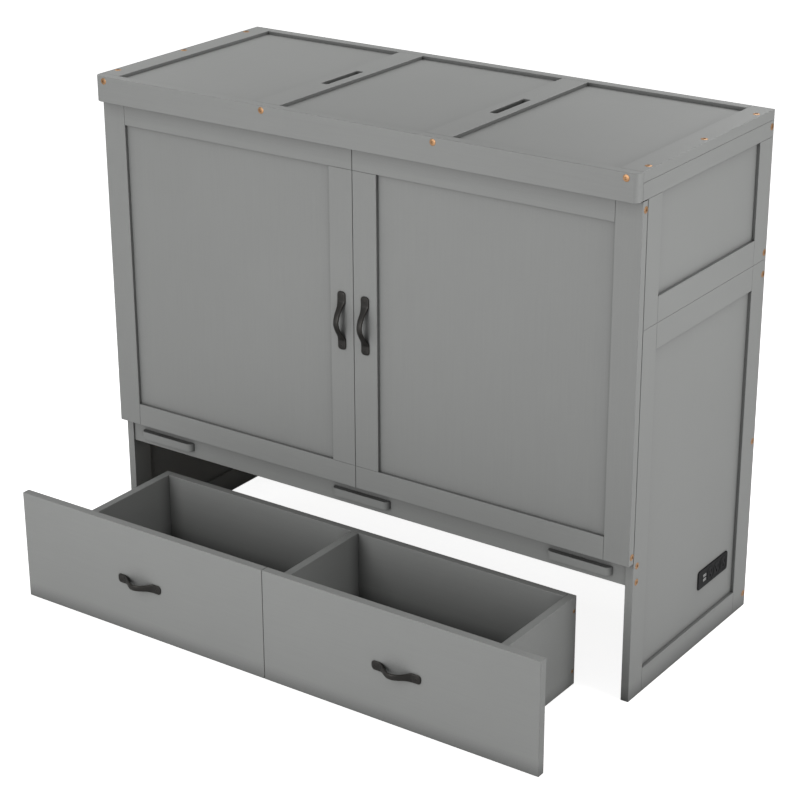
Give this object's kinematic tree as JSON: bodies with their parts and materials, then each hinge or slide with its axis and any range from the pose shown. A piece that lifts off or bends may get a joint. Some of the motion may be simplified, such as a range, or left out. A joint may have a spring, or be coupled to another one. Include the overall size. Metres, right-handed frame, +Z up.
{
  "type": "cabinet bed",
  "caption": "Framed grey chest that unfolds into a bed: fold-down front panel, lift-off hood and a wide rolling drawer with a divider.",
  "frame": {"origin": "on the floor, in the middle of the outline with the drawer pulled out", "axes": "+Z up, +X to the right seen from the front, +Y towards the back"},
  "size_m": [1.4754, 0.985, 1.2452],
  "materials": {
    "grey_paint": "satin grey paint",
    "pine": "bare planed pine",
    "bronze": "bronze-coloured",
    "black_iron": "matt black",
    "steel": "zinc plated",
    "black_plastic": "fine matt",
    "white_plastic": "moulded",
    "wheel_tread": "matt"
  },
  "bodies": {
    "cabinet": {"side_front_stiles": "grey_paint", "side_back_stiles": "grey_paint", "side_rails": "grey_paint", "side_panel_left": "grey_paint", "side_panel_right": "grey_paint", "apron": "grey_paint", "support_blocks": "grey_paint", "deck_ledgers": "pine", "deck_slats": "pine", "back_rails": "grey_paint", "back_mullions": "grey_paint", "back_panels": "grey_paint", "hood_dowels": "pine", "cabinet_bolts": "bronze", "apron_hinge_leaves": "steel", "hinge_pins": "steel", "magnet_catches": "white_plastic", "socket_plate": "black_plastic", "socket_housing": "black_plastic", "charging_ports": "white_plastic", "cable_gland": "black_plastic"},
    "hood": {"hood_stiles": "grey_paint", "hood_rails": "grey_paint", "hood_side_panels": "grey_paint", "hood_back_rail": "grey_paint", "lid_back_batten": "grey_paint", "hood_back_mullion": "grey_paint", "hood_back_panels": "grey_paint", "lid_fascia": "grey_paint", "lid_side_rails": "grey_paint", "lid_end_stiles": "grey_paint", "lid_mullions": "grey_paint", "lid_back_rail": "grey_paint", "lid_panels": "grey_paint", "lid_bearers": "grey_paint", "hood_bolts": "bronze"},
    "front_panel": {"door_outer_stiles": "grey_paint", "door_centre_stiles": "grey_paint", "door_top_rails": "grey_paint", "door_bottom_rails": "grey_paint", "door_panels": "grey_paint", "door_handles": "black_iron", "joining_plates": "steel", "panel_hinge_leaves": "steel", "strike_plates": "steel", "door_bolts": "bronze"},
    "drawer": {"drawer_fronts": "grey_paint", "drawer_sides": "grey_paint", "drawer_box_ends": "grey_paint", "drawer_divider": "grey_paint", "drawer_bottoms": "grey_paint", "drawer_bearers": "pine", "drawer_handles": "black_iron", "drawer_screws": "bronze", "caster_brackets": "steel", "caster_axles": "steel"},
    "caster_front_left": {"wheel_front_left": "wheel_tread"},
    "caster_front_right": {"wheel_front_right": "wheel_tread"},
    "caster_back_left": {"wheel_back_left": "wheel_tread"},
    "caster_back_right": {"wheel_back_right": "wheel_tread"}
  },
  "joints": [
    {"name": "hood_lift", "type": "slide", "parent": "cabinet", "child": "hood", "axis": [0, 0, 1], "range_m": [0, 0.36]},
    {"name": "front_panel_fold", "type": "hinge", "parent": "cabinet", "child": "front_panel", "pos_m": [0, -0.0829, 0.3476], "axis": [1, 0, 0], "range_deg": [0, 90]},
    {"name": "drawer_pull", "type": "slide", "parent": "cabinet", "child": "drawer", "axis": [0, -1, 0], "range_m": [-0.362, 0.25]},
    {"name": "wheel_front_left_spin", "type": "hinge", "parent": "drawer", "child": "caster_front_left", "pos_m": [-0.52, -0.3895, 0.016], "axis": [1, 0, 0], "continuous": true},
    {"name": "wheel_front_right_spin", "type": "hinge", "parent": "drawer", "child": "caster_front_right", "pos_m": [0.52, -0.3895, 0.016], "axis": [1, 0, 0], "continuous": true},
    {"name": "wheel_back_left_spin", "type": "hinge", "parent": "drawer", "child": "caster_back_left", "pos_m": [-0.52, -0.1445, 0.016], "axis": [1, 0, 0], "continuous": true},
    {"name": "wheel_back_right_spin", "type": "hinge", "parent": "drawer", "child": "caster_back_right", "pos_m": [0.52, -0.1445, 0.016], "axis": [1, 0, 0], "continuous": true}
  ],
  "couplings": [
    {"joint": "wheel_front_left_spin", "follows": "drawer_pull", "rad_per_m": 62.5},
    {"joint": "wheel_front_right_spin", "follows": "drawer_pull", "rad_per_m": 62.5},
    {"joint": "wheel_back_left_spin", "follows": "drawer_pull", "rad_per_m": 62.5},
    {"joint": "wheel_back_right_spin", "follows": "drawer_pull", "rad_per_m": 62.5}
  ]
}
